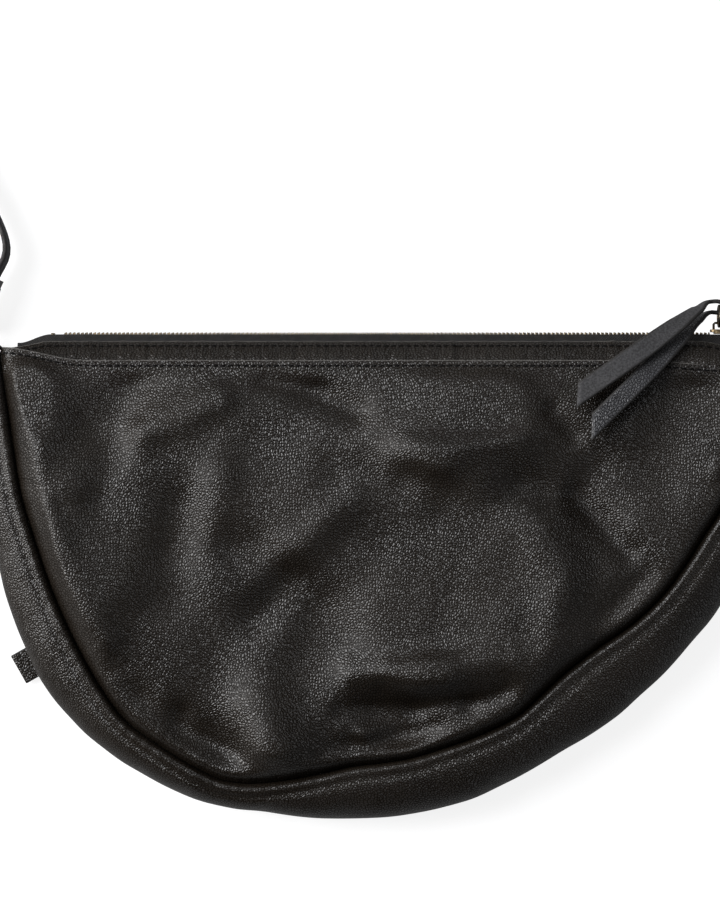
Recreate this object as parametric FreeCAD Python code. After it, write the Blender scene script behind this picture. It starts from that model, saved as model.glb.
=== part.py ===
import FreeCAD, Part
import math
import os
from collections import namedtuple

# A half moon leather bag, lying on its back. All lengths are in millimetres.
# X runs to the right along the zip, Y runs towards the zip, Z is up, out of the front panel.
# The origin is on the flat back, under the middle of the bag.

V = FreeCAD.Vector
X_AXIS = V(1, 0, 0)
Y_AXIS = V(0, 1, 0)
Z_AXIS = V(0, 0, 1)

# Leather, and the gap that is left between pieces that do not touch face to face
leather = 2.0
seam_gap = 0.3

# Front seam, a half moon: half width, middle, drop from the straight edge, roundness, lean to one side
top_y = 105.5
seam_half = 198.3
seam_mid = 3.5
seam_drop = 223.7
seam_power = 1.91
seam_lean = -56.0
seam_lean_power = 3.0

# Belly of the gusset and back seam: how far each reaches past the front seam, and its own curve
side_out = 16.9
side_shift = 5.1
side_below = 18.5
side_power = 2.17
side_lean = -31.4
side_lean_power = 1.5
back_out = 10.7
back_shift = 3.0
back_below = 8.3
back_power = 2.15
back_lean = -31.0
back_lean_power = 1.5
outline_points = 29

# Depth of the gusset, and the height above the back panel where it is widest
gusset_depth = 38.0
widest_up = 17.0
gusset_past_top = 4.0

# Front panel: the crown as pairs of distance in from the edge and rise above it, and the net of
# points that carries it. Each ring of the net is a distance in and a depth below the outer face.
crown_steps = ((0.0, 0.0), (5.0, 5.0), (20.0, 10.5), (50.0, 14.0))
outer_rings = ((0.0, 0.0), (5.0, 0.0), (20.0, 0.0))
inner_rings = ((2.5, 2.5), (6.4, 1.9), (20.6, leather))
net_rows = 10
seam_samples = 280

# Folds of the front panel: two ends in x and y, width, and height or depth.
# They fade out towards the edge and stay below the tie, whose underside is given as pairs of
# distance from the straight edge and height above the seam.
folds = (
    (-57, -108, -55, -75, 18, 4.3), (50, 63, 24, 56, 17, 3.9), (-25, -49, -21, -18, 17, -3.9),
    (27, -57, -10, -65, 14, 4.5), (-141, 64, -131, 103, 17, -3.7), (30, -79, -2, -112, 18, -3.4),
    (-71, -106, -84, -47, 17, -2.9), (-10, 79, -25, 100, 16, -3.1), (77, 81, 60, 102, 17, 2.6),
    (99, -42, 100, 4, 18, 2.5), (124, 11, 108, 54, 14, -2.7), (-171, 61, -181, 99, 15, 2.3),
    (-132, 13, -160, 35, 15, 2.2), (55, 19, 0, 6, 18, -1.8), (-108, -29, -96, 47, 13, -2.2),
    (-143, -43, -171, 34, 12, 2.3), (-45, -14, -60, -31, 9, -2.8), (-78, 93, -121, 61, 12, 2.1),
    (-10, 33, -51, -7, 12, 2.1), (72, -71, 51, -80, 8, -2.8), (133, -66, 138, -14, 14, -1.6),
    (70, -46, 32, -67, 11, 2.0),
)
fold_from = 5.0
fold_full = 25.0
tie_underside = ((0.0, 6.0), (3.5, 6.8), (19.5, 10.4), (39.5, 14.2), (59.5, 18.0), (250.0, 54.0))

# Zip facings: the strip under the panel edge, the strip that shows, and its fall towards the zip
facing_thick = 1.6
facing_under = 10.5
facing_show = 10.5
facing_fall = 9.4
facing_dip = 7.0
facing_dip_run = 50.0

# Zip: tape, teeth, stops
tape_thick = 0.7
tape_under = 9.0
chain_out = 14.2
tooth_pitch = 2.2
tooth_thick = 0.95
tooth_half_tall = 1.3
tooth_back = 3.2
tooth_waist = 1.2
tooth_tip = 0.7
tooth_tip_half = 0.7
zip_left_margin = 26.0
zip_right_margin = 6.0
stop_long = 2.0
tape_past_stop = 3.0

# Slider
slider_long = 10.0
slider_nose_half = 3.6
slider_shoulder_half = 4.9
slider_nose_run = 2.2
slider_shoulder_run = 1.6
slider_plate = 1.4
slider_room = 0.35
slider_rim = 0.8
slider_rim_drop = 0.9
slider_post_r = 1.1
bail_half = 3.6
bail_bar = 1.2
bail_thick = 1.6

# Ring that is the zip's pull, and the leather tie through it
pull_ring_r = 5.4
pull_wire_r = 0.85
wire_sides = 6
pull_room_below = 0.9
pull_room_above = 0.3
tie_wide = 10.0
tie_gathered = 4.4
tie_spread = 8.0
tie_thick = 2.2
tie_fold_r = 2.85
tie_fold_seat = 0.5
tie_leg = 4.5
tie_leg_lift = 0.5
tie_fold_steps = 4

# Strap rings and the leather tabs that hold them
strap_wide = 22.0
strap_thick = 2.6
ring_wire_r = 1.5
ring_side_room = 0.4
ring_long = 12.0
ring_lift = 0.2
tab_wide = 19.0
tab_thick = 1.6
tab_down = 30.0
tab_up = 9.0
tab_stand = 0.8
ring_edge = 0.85

# Strap: the fold at each end, its rivet, and the route on the table between the folds
fold_long = 26.0
fold_close = 11.0
fold_gap = 0.2
strap_fold_steps = 6
rivet_at = 18.5
rivet_r = 1.5
rivet_head_r = 3.5
rivet_head = 1.2
rivet_sides = 16
strap_lift = 0.3
strap_points = 34
strap_settle = 0.12
left_lay = (0.42, 0.91)
right_lay = (0.31, 0.95)
left_route = (
    (15.5, 36.5), (7.8, 63.5), (-11.2, 99.5), (-25.2, 139.5), (-21.2, 199.5), (22.8, 267.5),
    (105.8, 310.5),
)
crown_route = (1.4, 323.5)
right_route = ((-108.0, 305.5), (-23.0, 258.5), (22.0, 185.5), (28.0, 108.5), (18.0, 51.5))

# Small folded tab in the back seam, at the left
side_tab_long = 16.5
side_tab_out = 20.0
side_tab_thick = 2.6
side_tab_turn = 0.222

Moon = namedtuple("Moon", "half mid drop power lean lean_power")
SEAM = Moon(seam_half, seam_mid, seam_drop, seam_power, seam_lean, seam_lean_power)
SIDE = Moon(
    seam_half + side_out, seam_mid + side_shift, seam_drop + side_below,
    side_power, side_lean, side_lean_power)
BACK = Moon(
    seam_half + back_out, seam_mid + back_shift, seam_drop + back_below,
    back_power, back_lean, back_lean_power)


def moon_width(moon, below, inset):
    """Left and right ends of a half moon at a distance below its straight edge."""
    deep = below / (moon.drop - inset)
    across = (moon.half - inset) * (1 - deep ** moon.power) ** (1 / moon.power)
    middle = moon.mid + moon.lean * deep ** moon.lean_power
    return middle - across, middle + across


# Levels and places that follow from the sizes
seam_z = leather + gusset_depth
chain_z = leather + gusset_depth / 2
chain_y = top_y + chain_out
inner_left, inner_right = moon_width(SEAM, facing_under, leather)
facing_left = inner_left + seam_gap
facing_right = inner_right - seam_gap
top_stop_x = facing_right - zip_right_margin
slider_x = top_stop_x - stop_long / 2 - seam_gap - slider_long / 2
teeth_right = slider_x - slider_long / 2 - seam_gap - tooth_thick / 2
teeth_left = facing_left + zip_left_margin
bottom_stop_x = teeth_left - stop_long / 2 - tooth_pitch
plate_y = chain_y + tooth_half_tall + slider_room
pull_pivot_y = plate_y + slider_plate + pull_room_below + pull_wire_r
bail_top = pull_pivot_y + pull_wire_r + pull_room_above
pull_ring_y = pull_pivot_y + pull_ring_r
ring_z = ring_lift + ring_wire_r * 2 + ring_side_room + strap_wide / 2
eye_r = ring_wire_r + seam_gap


def moon_point(moon, turn, inset):
    """Point of a half moon; turn runs from 0 at the left corner to 1 at the right corner."""
    angle = math.pi * turn
    deep = math.sin(angle) ** (2 / moon.power)
    across = abs(math.cos(angle)) ** (2 / moon.power)
    across = math.copysign(across, math.cos(angle))
    x = moon.mid - (moon.half - inset) * across + moon.lean * deep ** moon.lean_power
    return x, -(moon.drop - inset) * deep


def moon_points(moon, inset=0.0, top=0.0):
    """Outline from the left corner to the right corner; top lowers the straight edge."""
    points = []
    for i in range(outline_points):
        x, y = moon_point(moon, i / (outline_points - 1), inset)
        depth = -y / (moon.drop - inset)
        points.append(V(x, top_y + y - top * (1 - depth), 0))
    return points


def between(outline, other, share):
    """Outline that lies a share of the way from one outline to the other."""
    return [a + (b - a) * share for a, b in zip(outline, other)]


def closed(points, z, rise=0.0):
    """Closed wire at height z; rise carries both ends above the straight edge."""
    loop = [point + Z_AXIS * z for point in points]
    if rise > 0:
        loop = [loop[0] + Y_AXIS * rise] + loop + [loop[-1] + Y_AXIS * rise]
    return Part.makePolygon(loop + loop[:1])


def strip(line, thick, x_from, x_to):
    """Sheet of even thickness below a bent line of (y, z) points, running along X."""
    lower = []
    for i, (y, z) in enumerate(line):
        normals = []
        for a, b in zip(line[max(i - 1, 0):i + 1], line[max(i - 1, 0) + 1:i + 2]):
            run = math.hypot(b[0] - a[0], b[1] - a[1])
            normals.append(((b[1] - a[1]) / run, -(b[0] - a[0]) / run))
        ny = sum(n[0] for n in normals) / len(normals)
        nz = sum(n[1] for n in normals) / len(normals)
        square = ny * ny + nz * nz
        lower.append((y + thick * ny / square, z + thick * nz / square))
    loop = [V(x_from, y, z) for y, z in list(line) + lower[::-1]]
    face = Part.Face(Part.makePolygon(loop + loop[:1]))
    return face.extrude(X_AXIS * (x_to - x_from)), lower


def mirror_depth(shape):
    """The same piece on the other side of the zip."""
    return shape.mirror(V(0, 0, chain_z), Z_AXIS)


def ribbon(stations):
    """Flat strip through stations of (centre, width direction, normal, width, thickness)."""
    wires = []
    for centre, wide, normal, width, thick in stations:
        w = wide * (width / 2)
        n = normal * (thick / 2)
        loop = [centre - w - n, centre + w - n, centre + w + n, centre - w + n]
        wires.append(Part.makePolygon(loop + loop[:1]))
    return Part.makeLoft(wires, True, True)


def upright(points, width, thick):
    """Stations for a strip that stands on its edge along a flat route."""
    stations = []
    for i, point in enumerate(points):
        ahead = points[min(i + 1, len(points) - 1)] - points[max(i - 1, 0)]
        ahead.z = 0
        ahead.normalize()
        stations.append((point, Z_AXIS, Z_AXIS.cross(ahead), width, thick))
    return stations


def export(name, shape):
    solids = len(shape.Solids)
    print(name, "solids", solids, "valid", shape.isValid(), "volume", round(shape.Volume, 1))
    shape.exportStep("parts/" + name + ".step")


os.makedirs("parts", exist_ok=True)

# Back panel: a flat half moon
back_panel = Part.Face(closed(moon_points(BACK), 0)).extrude(Z_AXIS * leather)
export("back_panel", back_panel)


def belly(inset):
    """Outlines and heights of the gusset: out from the back seam to the belly and in to the front."""
    back, side, seam = (moon_points(moon, inset) for moon in (BACK, SIDE, SEAM))
    quarter = math.sqrt(0.5)
    belly_z = leather + widest_up
    return (
        (back, leather),
        (between(back, side, quarter), leather + widest_up * (1 - quarter)),
        (side, belly_z),
        (between(side, seam, 1 - quarter), belly_z + (seam_z - belly_z) * quarter),
        (seam, seam_z),
    )


# Gusset: a bellied wall round the curve, open along the straight edge
wall = [closed(points, z, gusset_past_top) for points, z in belly(0)]
hollow = [closed(points, z, gusset_past_top + leather) for points, z in belly(leather)]
gusset_body = Part.makeLoft(wall, True, True)
gusset = gusset_body.cut(Part.makeLoft(hollow, True, True))
export("gusset", gusset)

def between_pairs(pairs, at):
    """Value at a place on a line of (place, value) pairs."""
    for (x0, y0), (x1, y1) in zip(pairs, pairs[1:]):
        if at <= x1:
            return y0 + (y1 - y0) * max(at - x0, 0.0) / (x1 - x0)
    return pairs[-1][1]


def fold_lift(x, y):
    """How far the folds raise or lower the front panel at a point."""
    lift = 0.0
    for x0, y0, x1, y1, wide, high in folds:
        run_x = x1 - x0
        run_y = y1 - y0
        share = ((x - x0) * run_x + (y - y0) * run_y) / (run_x ** 2 + run_y ** 2)
        share = min(max(share, 0.0), 1.0)
        off = math.hypot(x - x0 - share * run_x, y - y0 - share * run_y)
        lift += high * math.exp(-(off / wide) ** 2)
    return lift


def panel_height(point):
    """Height of the front panel's outer face."""
    inset = min(math.hypot(point.x - x, point.y - y) for x, y in seam_edge)
    inset = min(inset, top_y - point.y)
    fade = min(max((inset - fold_from) / (fold_full - fold_from), 0.0), 1.0)
    height = seam_z + between_pairs(crown_steps, inset) + fold_lift(point.x, point.y) * fade
    return min(height, seam_z + between_pairs(tie_underside, top_y - point.y))


def panel_rows(rings):
    """Two lists of rows of points, over the half moon's rim and over its middle."""
    rims = []
    for far, below in rings:
        curve = moon_points(SEAM, far, far)
        count = len(curve) - 1
        edge = [curve[0] + (curve[-1] - curve[0]) * (i / count) for i in range(count + 1)]
        rims.append((curve, edge, below))
    curve, edge, below = rims[-1]
    middle = [(between(edge, curve, i / net_rows), below) for i in range(net_rows + 1)]
    return [
        [[point + Z_AXIS * max(panel_height(point) - below, seam_z) for point in row] for row, below in rows]
        for rows in ([(c, d) for c, e, d in rims], [(e, d) for c, e, d in rims], middle)
    ]


def net_faces(rows):
    """Triangles between rows of points, leaving out those that have no area."""
    faces = []
    for upper, lower in zip(rows, rows[1:]):
        for i in range(len(upper) - 1):
            corners = (upper[i], upper[i + 1], lower[i + 1], lower[i])
            for a, b, c in ((0, 1, 2), (0, 2, 3)):
                loop = [corners[a], corners[b], corners[c]]
                if (loop[1] - loop[0]).cross(loop[2] - loop[0]).Length > seam_gap:
                    faces.append(Part.Face(Part.makePolygon(loop + loop[:1])))
    return faces


# Front panel: a crowned and folded skin, whose rim lies on the gusset and the facing
seam_edge = []
for i in range(seam_samples + 1):
    edge_x, edge_y = moon_point(SEAM, i / seam_samples, 0)
    seam_edge.append((edge_x, top_y + edge_y))
outer_net = panel_rows(outer_rings)
inner_net = panel_rows(inner_rings)
panel_faces = []
for rows in outer_net + inner_net:
    panel_faces += net_faces(rows)
for outer_rows, inner_rows in zip(outer_net[:2], inner_net[:2]):
    panel_faces += net_faces([outer_rows[0], inner_rows[0]])
panel_shell = Part.makeShell(panel_faces)
panel_shell.sewShape()
front_panel = Part.makeSolid(panel_shell)
if front_panel.Volume < 0:
    front_panel.reverse()
export("front_panel", front_panel)

# Facings: bent strips from under the panel edge down to the zip, lower towards both ends
facing_line = (
    (top_y - facing_under, seam_z),
    (top_y, seam_z),
    (top_y + facing_show, seam_z - facing_fall),
)
facing_strip, facing_lower = strip(facing_line, facing_thick, facing_left, facing_right)
facing_top = top_y + facing_show
facing_end = facing_top - facing_dip
low_y = top_y - facing_under - leather
left_end = V(facing_left - leather, facing_end, 0)
left_top = V(facing_left + facing_dip_run, facing_top + seam_gap, 0)
right_top = V(facing_right - facing_dip_run, facing_top + seam_gap, 0)
right_end = V(facing_right + leather, facing_end, 0)
plan = [V(left_end.x, low_y, 0), left_end, left_top, right_top, right_end, V(right_end.x, low_y, 0)]
facing_plan = Part.Face(Part.makePolygon(plan + plan[:1])).extrude(Z_AXIS * (seam_z + leather))
front_facing = facing_strip.common(facing_plan)
export("front_facing", front_facing)
export("back_facing", mirror_depth(front_facing))

# Zip tapes: from under each facing to the backs of the teeth
bend_y, bend_z = facing_lower[1]
edge_y, edge_z = facing_lower[2]
slope = math.hypot(edge_y - bend_y, edge_z - bend_z)
start = 1 - tape_under / slope
tape_line = (
    (bend_y + (edge_y - bend_y) * start, bend_z + (edge_z - bend_z) * start),
    (edge_y, edge_z),
    (chain_y + tape_thick / 2, chain_z + slider_shoulder_half + slider_room * 2),
    (chain_y + tape_thick / 2, chain_z + tooth_back + seam_gap),
)
tape_left = bottom_stop_x - stop_long / 2 - tape_past_stop
tape_right = top_stop_x + stop_long / 2 + tape_past_stop
front_tape = strip(tape_line, tape_thick, tape_left, tape_right)[0]
export("front_zip_tape", front_tape)
export("back_zip_tape", mirror_depth(front_tape))

# Zip teeth: wedge-nosed teeth that reach past the middle, between the teeth of the other side
tooth_outline = (
    (-tooth_half_tall, tooth_back),
    (tooth_half_tall, tooth_back),
    (tooth_half_tall, tooth_waist),
    (tooth_tip_half, -tooth_tip),
    (-tooth_tip_half, -tooth_tip),
    (-tooth_half_tall, tooth_waist),
)
tooth_loop = [V(-tooth_thick / 2, chain_y + y, chain_z + z) for y, z in tooth_outline]
tooth = Part.Face(Part.makePolygon(tooth_loop + tooth_loop[:1])).extrude(X_AXIS * tooth_thick)
tooth_count = int((teeth_right - teeth_left) / tooth_pitch)
front_teeth = []
back_teeth = []
for i in range(tooth_count):
    x = teeth_right - i * tooth_pitch
    front_teeth.append(tooth.translated(X_AXIS * x))
    back_teeth.append(mirror_depth(tooth).translated(X_AXIS * (x - tooth_pitch / 2)))
export("front_zip_teeth", Part.makeCompound(front_teeth))
export("back_zip_teeth", Part.makeCompound(back_teeth))

# Zip stops: one clamped on each tape at the closed end, one across both at the other end
stop_tall = tooth_half_tall * 2
stop_wide = tooth_back - tooth_waist
stop_corner = V(top_stop_x - stop_long / 2, chain_y - tooth_half_tall, chain_z + tooth_waist)
top_stop = Part.makeBox(stop_long, stop_tall, stop_wide, stop_corner)
export("zip_top_stops", Part.makeCompound([top_stop, mirror_depth(top_stop)]))
bottom_corner = V(bottom_stop_x - stop_long / 2, chain_y - tooth_half_tall, chain_z - tooth_back)
export("zip_bottom_stop", Part.makeBox(stop_long, stop_tall, tooth_back * 2, bottom_corner))


def slider_outline(y, inset):
    """Shield outline of the slider: a round nose that widens to the shoulders."""
    nose = slider_x - slider_long / 2 + inset
    tail = slider_x + slider_long / 2 - inset
    nose_half = slider_nose_half - inset
    shoulder_half = slider_shoulder_half - inset
    corners = [
        V(nose + slider_nose_run, y, chain_z + nose_half),
        V(nose + slider_nose_run, y, chain_z - nose_half),
        V(tail - slider_shoulder_run, y, chain_z - shoulder_half),
        V(tail - slider_shoulder_run, y, chain_z + shoulder_half),
    ]
    edges = [
        Part.Arc(corners[0], V(nose, y, chain_z), corners[1]).toShape(),
        Part.makeLine(corners[1], corners[2]),
        Part.Arc(corners[2], V(tail, y, chain_z), corners[3]).toShape(),
        Part.makeLine(corners[3], corners[0]),
    ]
    return Part.Face(Part.Wire(edges))


# Slider: two plates with turned-in sides, the post that parts the teeth, and the bail on top
floor_y = chain_y - tooth_half_tall - slider_room
rim_span = slider_long - slider_nose_run - slider_shoulder_run
rim_box = Part.makeBox(
    rim_span, plate_y - floor_y, slider_shoulder_half * 2,
    V(slider_x - slider_long / 2 + slider_nose_run, floor_y, chain_z - slider_shoulder_half))
upper_rim = slider_outline(plate_y - slider_rim_drop, 0).cut(
    slider_outline(plate_y - slider_rim_drop, slider_rim)).extrude(Y_AXIS * slider_rim_drop)
lower_rim = slider_outline(floor_y, 0).cut(
    slider_outline(floor_y, slider_rim)).extrude(Y_AXIS * slider_rim_drop)
post_x = slider_x + slider_long / 2 - slider_shoulder_run - slider_post_r
post = Part.makeCylinder(slider_post_r, plate_y - floor_y, V(post_x, floor_y, chain_z), Y_AXIS)
bail_foot = plate_y + slider_plate
bail_slant = bail_bar
bail_outer = [
    V(slider_x - bail_half, bail_foot, 0),
    V(slider_x - bail_half, bail_top + bail_bar - bail_slant, 0),
    V(slider_x - bail_half + bail_slant, bail_top + bail_bar, 0),
    V(slider_x + bail_half - bail_slant, bail_top + bail_bar, 0),
    V(slider_x + bail_half, bail_top + bail_bar - bail_slant, 0),
    V(slider_x + bail_half, bail_foot, 0),
    V(slider_x + bail_half - bail_bar, bail_foot, 0),
    V(slider_x + bail_half - bail_bar, bail_top, 0),
    V(slider_x - bail_half + bail_bar, bail_top, 0),
    V(slider_x - bail_half + bail_bar, bail_foot, 0),
]
bail = Part.Face(Part.makePolygon(bail_outer + bail_outer[:1])).extrude(Z_AXIS * bail_thick)
bail.translate(Z_AXIS * (chain_z - bail_thick / 2))
slider_body = slider_outline(plate_y, 0).extrude(Y_AXIS * slider_plate)
slider_body = slider_body.fuse([
    slider_outline(floor_y - slider_plate, 0).extrude(Y_AXIS * slider_plate),
    upper_rim.common(rim_box),
    lower_rim.common(rim_box),
    post,
    bail,
]).removeSplitter()
export("slider_body", slider_body)

# Pull ring: round wire, hung in the bail
pull_centre = V(slider_x, pull_ring_y, chain_z)
wire_loop = []
for step in range(wire_sides):
    angle = 2 * math.pi * (step + 0.5) / wire_sides
    wire_loop.append(pull_centre + V(
        pull_wire_r * math.cos(angle), pull_ring_r + pull_wire_r * math.sin(angle), 0))
wire_face = Part.Face(Part.makePolygon(wire_loop + wire_loop[:1]))
export("pull_ring", wire_face.revolve(pull_centre, X_AXIS, 360))

# Leather tie: one strip, folded through the ring, both tails turned flat over the front panel.
# Each row is a point from the ring's middle, the turn of the strip in degrees and its width.
# The heights follow the rise from the chain to the seam.
rise = seam_z - chain_z
fold_y = pull_ring_r - tie_fold_seat
long_tail = (
    (-78.0, -42.8, rise + 17.0, 90, tie_wide),
    (-41.2, -17.2, rise + 12.0, 85, tie_wide),
    (-25.0, -5.6, rise + 3.5, 62, tie_wide),
    (-12.5, 3.2, rise - 8.5, 35, tie_spread),
    (-tie_leg, fold_y + tie_fold_r, tie_leg_lift, 0, tie_gathered),
)
short_tail = (
    (-tie_leg, fold_y - tie_fold_r, tie_leg_lift, 0, tie_gathered),
    (-12.0, -1.8, rise - 13.5, -35, tie_spread),
    (-22.0, -11.4, rise - 3.0, -62, tie_wide),
    (-38.0, -27.8, rise + 8.8, -85, tie_wide),
    (-70.4, -59.6, rise + 16.0, -90, tie_wide),
)
fold = []
for step in range(tie_fold_steps + 1):
    angle = math.pi * (0.5 - step / tie_fold_steps)
    fold.append((
        tie_fold_r * math.cos(angle), fold_y + tie_fold_r * math.sin(angle), 0, 0, tie_gathered))
tie_rows = list(long_tail) + fold + list(short_tail)
tie_points = [pull_centre + V(row[0], row[1], row[2]) for row in tie_rows]
tie_stations = []
for i, row in enumerate(tie_rows):
    ahead = tie_points[min(i + 1, len(tie_points) - 1)] - tie_points[max(i - 1, 0)]
    ahead.normalize()
    wide = Z_AXIS - ahead * Z_AXIS.dot(ahead)
    wide.normalize()
    side = wide.cross(ahead)
    turn = math.radians(row[3])
    across = wide * math.cos(turn) - side * math.sin(turn)
    normal = side * math.cos(turn) + wide * math.sin(turn)
    tie_stations.append((tie_points[i], across, normal, row[4], tie_thick))
export("pull_tie", ribbon(tie_stations))


def strap_ring(eye):
    """Rectangular ring with broken edges, from its bar in the tab to its bar in the strap."""
    half = strap_wide / 2 + ring_side_room
    bar = ring_wire_r * 2
    corner = eye - V(ring_wire_r, ring_wire_r, half + bar)
    frame = Part.makeBox(bar, ring_long + bar, (half + bar) * 2, corner)
    frame = frame.cut(Part.makeBox(bar, ring_long - bar, half * 2, corner + V(0, bar, bar)))
    rims = [edge for edge in frame.Edges if abs(edge.tangentAt(edge.FirstParameter).x) < 1]
    rims = [edge for edge in rims if edge.Vertexes[0].X == edge.Vertexes[1].X]
    return frame.makeChamfer(ring_edge, rims)


def ring_tab(eye, inward):
    """Folded leather tab: an eye round the ring's bar and two plies down the gusset."""
    outer = eye_r + tab_thick
    low_z = ring_z - tab_wide / 2
    near = eye.x + inward * outer
    corner = V(min(near, near - inward * tab_thick * 2), top_y - tab_down, low_z)
    plies = Part.makeBox(tab_thick * 2, eye.y - corner.y, tab_wide, corner)
    round_end = Part.makeCylinder(outer, tab_wide, V(eye.x, eye.y, low_z))
    bore = Part.makeCylinder(eye_r, tab_wide, V(eye.x, eye.y, low_z))
    return round_end.fuse(plies).cut(bore).removeSplitter()


# Strap rings and tabs at both ends of the zip
tab_half = eye_r + tab_thick
left_eye = V(SIDE.mid - SIDE.half - tab_stand - tab_half, top_y + tab_up, ring_z)
right_eye = V(SIDE.mid + SIDE.half + tab_stand + tab_half, top_y + tab_up, ring_z)
export("left_ring", strap_ring(left_eye))
export("right_ring", strap_ring(right_eye))
export("left_ring_tab", ring_tab(left_eye, 1))
export("right_ring_tab", ring_tab(right_eye, -1))


def fold_points(bar, lay, outer_side):
    """Route of the strap from its free end, round the ring's bar, to the end of the fold."""
    along = V(lay[0], lay[1], 0)
    along.normalize()
    side = Z_AXIS.cross(along) * outer_side
    ply = (strap_thick + fold_gap) / 2
    round_r = eye_r + strap_thick / 2
    points = [bar + along * fold_long - side * ply, bar + along * fold_close - side * ply]
    for step in range(strap_fold_steps + 1):
        angle = -math.pi * (0.5 + step / strap_fold_steps)
        points.append(bar + along * (round_r * math.cos(angle)) + side * (round_r * math.sin(angle)))
    points += [bar + along * fold_close + side * ply, bar + along * fold_long + side * ply]
    return points


def round_bar(radius, start, along):
    """Many-sided bar from a point, as long as the vector along."""
    side = along.cross(Z_AXIS)
    side.normalize()
    loop = []
    for step in range(rivet_sides):
        angle = 2 * math.pi * step / rivet_sides
        loop.append(start + side * (radius * math.cos(angle)) + Z_AXIS * (radius * math.sin(angle)))
    return Part.Face(Part.makePolygon(loop + loop[:1])).extrude(along)


def rivet(bar, lay):
    """Rivet through both plies of a fold: a shank with a head on each side."""
    along = V(lay[0], lay[1], 0)
    along.normalize()
    side = Z_AXIS.cross(along)
    reach = strap_thick + fold_gap / 2
    middle = bar + along * rivet_at
    shank = round_bar(rivet_r, middle - side * reach, side * (reach * 2))
    head = round_bar(rivet_head_r, middle + side * reach, side * rivet_head)
    tail = round_bar(rivet_head_r, middle - side * reach, side * -rivet_head)
    return shank, shank.fuse([head, tail]).removeSplitter()


# Strap: one strip on its edge, both ends folded round the rings and riveted
left_bar = left_eye + Y_AXIS * ring_long
right_bar = right_eye + Y_AXIS * ring_long
left_fold = fold_points(left_bar, left_lay, 1)
right_fold = fold_points(right_bar, right_lay, -1)
lay_z = strap_lift + strap_wide / 2
anchors = [left_fold[-1]]
anchors += [left_bar + V(x, y, 0) for x, y in left_route]
anchors.append((left_bar + right_bar) / 2 + V(crown_route[0], crown_route[1], 0))
anchors += [right_bar + V(x, y, 0) for x, y in right_route]
anchors.append(right_fold[-1])
route = Part.BSplineCurve()
route.interpolate(anchors)
first = route.FirstParameter
span = route.LastParameter - first
middle_points = []
for i in range(1, strap_points):
    part = i / strap_points
    point = route.value(first + span * part)
    settled = min(part, 1 - part, strap_settle) / strap_settle
    point.z = ring_z + (lay_z - ring_z) * settled * settled * (3 - 2 * settled)
    middle_points.append(point)
strap_line = left_fold + middle_points + right_fold[::-1]
strap = ribbon(upright(strap_line, strap_wide, strap_thick))
left_hole, left_rivet = rivet(left_bar, left_lay)
right_hole, right_rivet = rivet(right_bar, right_lay)
export("strap", strap.cut(left_hole).cut(right_hole))
export("strap_rivets", Part.makeCompound([left_rivet, right_rivet]))
print("strap length", round(route.length() + 2 * fold_long))

# Side tab: a folded scrap of leather caught in the back seam, at the left
root_x, root_y = moon_point(BACK, side_tab_turn, 0)
next_x, next_y = moon_point(BACK, side_tab_turn + 1 / outline_points, 0)
along = V(next_x - root_x, next_y - root_y, 0)
along.normalize()
out = along.cross(Z_AXIS)
root = V(root_x, top_y + root_y, leather) - along * (side_tab_long / 2) - out * leather
corners = [root, root + along * side_tab_long]
corners += [corner + out * (side_tab_out + leather) for corner in corners[::-1]]
side_tab = Part.Face(Part.makePolygon(corners + corners[:1])).extrude(Z_AXIS * side_tab_thick)
export("side_tab", side_tab.cut(gusset_body))
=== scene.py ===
# %% [markdown]
# # Half moon bag
# A large soft shoulder bag in very dark pebbled leather, lying on its back. The rigid model gives
# every piece its place; this lesson puts the leather, the zip and the stitching over it. All
# lengths are written in millimetres and turned into metres where a mesh is made. X runs along the
# zip, Y points towards the zip and Z comes up out of the front.

import math

import bpy
import numpy as np
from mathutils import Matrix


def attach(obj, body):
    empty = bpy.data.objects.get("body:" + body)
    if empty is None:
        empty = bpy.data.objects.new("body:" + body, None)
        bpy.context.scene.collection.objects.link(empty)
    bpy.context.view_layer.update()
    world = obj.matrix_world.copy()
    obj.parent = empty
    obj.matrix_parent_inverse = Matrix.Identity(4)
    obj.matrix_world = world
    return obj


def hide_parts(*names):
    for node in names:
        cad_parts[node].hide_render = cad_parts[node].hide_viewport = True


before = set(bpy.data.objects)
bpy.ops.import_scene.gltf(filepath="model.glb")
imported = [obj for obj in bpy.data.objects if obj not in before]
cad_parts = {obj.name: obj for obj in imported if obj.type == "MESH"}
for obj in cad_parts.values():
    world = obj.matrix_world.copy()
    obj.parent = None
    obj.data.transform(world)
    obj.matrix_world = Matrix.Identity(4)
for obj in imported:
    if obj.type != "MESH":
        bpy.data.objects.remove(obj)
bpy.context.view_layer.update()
MM = 0.001

# %% [markdown]
# ## Curves and unevenness
# Soft leather has no exact curve, so its outlines are smooth lines drawn through measured points.
# Blender's own curves could do this too, but plain arrays of points are easier to measure along.
# A few sine waves with fixed random directions make the slight unevenness that keeps the leather
# from looking machined. The same seed always gives the same bag.

# %% Smooth lines
CUTS_PER_SPAN = 16


def unit(rows):
    """The same directions, each one long."""
    return rows / np.linalg.norm(rows, axis=1)[:, None]


def reach_along(path):
    """How far along a line each of its points is."""
    steps = np.linalg.norm(np.diff(path, axis=0), axis=1)
    return np.concatenate([[0.0], np.cumsum(steps)])


def resample(path, count):
    """The same line, cut at equal steps of its length."""
    reach = reach_along(path)
    at = np.linspace(0.0, reach[-1], count)
    return np.stack([np.interp(at, reach, axis) for axis in path.T], axis=1)


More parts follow.
